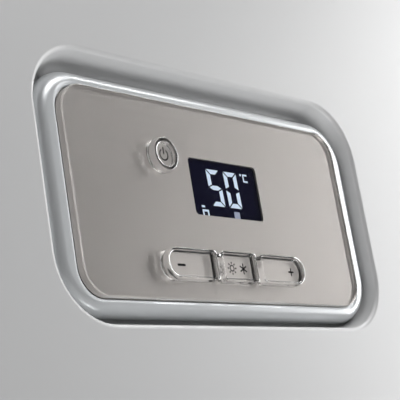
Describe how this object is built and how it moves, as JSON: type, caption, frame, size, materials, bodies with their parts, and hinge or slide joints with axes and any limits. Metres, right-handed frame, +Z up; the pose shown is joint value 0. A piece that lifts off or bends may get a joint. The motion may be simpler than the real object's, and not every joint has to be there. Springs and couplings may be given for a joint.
{
  "type": "gas boiler",
  "caption": "Wall-hung gas boiler with a painted steel casing and a recessed control panel with a display, a power key and a row of clear keys.",
  "frame": {"origin": "midway between the two hanging holes of the back plate, on the wall plane", "axes": "+Y into the wall, so the front faces -Y; +Z up; +X to the right of someone who faces the boiler"},
  "size_m": [0.4, 0.301, 0.824],
  "materials": {
    "casing_paint": "satin",
    "zinc_steel": "satin",
    "silver_plastic": "satin metallic",
    "champagne_metal": "satin",
    "clear_acrylic": "polished",
    "display_glass": "gloss",
    "circuit_board": "satin",
    "black_plastic": "matte",
    "grey_plastic": "matte",
    "screw_steel": "zinc plated",
    "ceramic_fibre": "matte",
    "white_ceramic": "glazed",
    "stainless_steel": "brushed",
    "copper": "bare",
    "brass": "cast",
    "cast_metal": "cast",
    "die_cast": "die cast",
    "red_paint": "satin",
    "red_plastic": "gloss",
    "sight_glass": "polished"
  },
  "bodies": {
    "chassis": {"left_side_panel": "casing_paint", "right_side_panel": "casing_paint", "top_panel": "zinc_steel", "bottom_panel": "zinc_steel", "back_plate": "zinc_steel", "chamber_screws": "screw_steel", "sealed_chamber": "zinc_steel", "chamber_cover": "zinc_steel", "sight_glass": "sight_glass", "combustion_chamber": "stainless_steel", "insulation_boards": "ceramic_fibre", "burner_tray": "stainless_steel", "burner_blades": "stainless_steel", "gas_manifold": "die_cast", "ignition_electrodes": "white_ceramic", "heat_exchanger_fins": "copper", "heat_exchanger_tubes": "copper", "flue_hood": "stainless_steel", "fan_housing": "zinc_steel", "fan_motor": "cast_metal", "flue_turret": "die_cast", "air_collar": "die_cast", "air_pressure_switch": "grey_plastic", "expansion_vessel": "red_paint", "flow_pipe": "copper", "return_pipe": "copper", "flow_block": "brass", "return_block": "brass", "diverter_motor": "black_plastic", "pump_body": "cast_metal", "pump_head": "grey_plastic", "plate_heat_exchanger": "stainless_steel", "tap_pipes": "copper", "gas_valve": "die_cast", "gas_pipe": "copper", "pipe_tails": "copper", "union_nuts": "brass", "pressure_gauge": "black_plastic", "relief_valve": "brass", "main_control_box": "grey_plastic", "cable_gland": "black_plastic"},
    "cover": {"front_cover": "casing_paint", "cover_screws": "screw_steel", "control_bezel": "silver_plastic", "fascia_plate": "champagne_metal", "fascia_lens": "clear_acrylic", "display_module": "display_glass", "tact_switches": "black_plastic", "control_board": "circuit_board", "control_housing": "black_plastic", "housing_screws": "screw_steel"},
    "power_button_body": {"power_button": "clear_acrylic"},
    "minus_button_body": {"minus_button": "clear_acrylic"},
    "mode_button_body": {"mode_button": "clear_acrylic"},
    "plus_button_body": {"plus_button": "clear_acrylic"},
    "fan_impeller_body": {"fan_impeller": "die_cast"},
    "pump_impeller_body": {"pump_impeller": "black_plastic"},
    "diverter_spindle_body": {"diverter_spindle": "stainless_steel"},
    "gauge_needle_body": {"gauge_needle": "red_plastic"},
    "relief_knob_body": {"relief_knob": "red_plastic"}
  },
  "joints": [
    {"name": "cover_removal", "type": "slide", "parent": "chassis", "child": "cover", "axis": [0, -1, 0], "range_m": [0, 0.35]},
    {"name": "power_press", "type": "slide", "parent": "cover", "child": "power_button_body", "axis": [0, 1, 0], "range_m": [0, 0.001], "stiffness_N_per_m": 900},
    {"name": "minus_press", "type": "slide", "parent": "cover", "child": "minus_button_body", "axis": [0, 1, 0], "range_m": [0, 0.001], "stiffness_N_per_m": 900},
    {"name": "mode_press", "type": "slide", "parent": "cover", "child": "mode_button_body", "axis": [0, 1, 0], "range_m": [0, 0.001], "stiffness_N_per_m": 900},
    {"name": "plus_press", "type": "slide", "parent": "cover", "child": "plus_button_body", "axis": [0, 1, 0], "range_m": [0, 0.001], "stiffness_N_per_m": 900},
    {"name": "fan_spin", "type": "hinge", "parent": "chassis", "child": "fan_impeller_body", "pos_m": [-0.036, -0.168, -0.1083], "axis": [0, 1, 0], "continuous": true},
    {"name": "pump_spin", "type": "hinge", "parent": "chassis", "child": "pump_impeller_body", "pos_m": [0.13, -0.13, -0.5858], "axis": [0, 1, 0], "continuous": true},
    {"name": "diverter_lift", "type": "slide", "parent": "chassis", "child": "diverter_spindle_body", "axis": [0, 0, 1], "range_m": [0, 0.006]},
    {"name": "gauge_turn", "type": "hinge", "parent": "chassis", "child": "gauge_needle_body", "pos_m": [0.034, -0.205, -0.722], "axis": [0, 0, 1], "range_deg": [-135, 135], "stiffness_Nm_per_rad": 0.002},
    {"name": "relief_turn", "type": "hinge", "parent": "chassis", "child": "relief_knob_body", "pos_m": [0.13, -0.191, -0.6748], "axis": [0, -1, 0], "range_deg": [0, 90]}
  ]
}
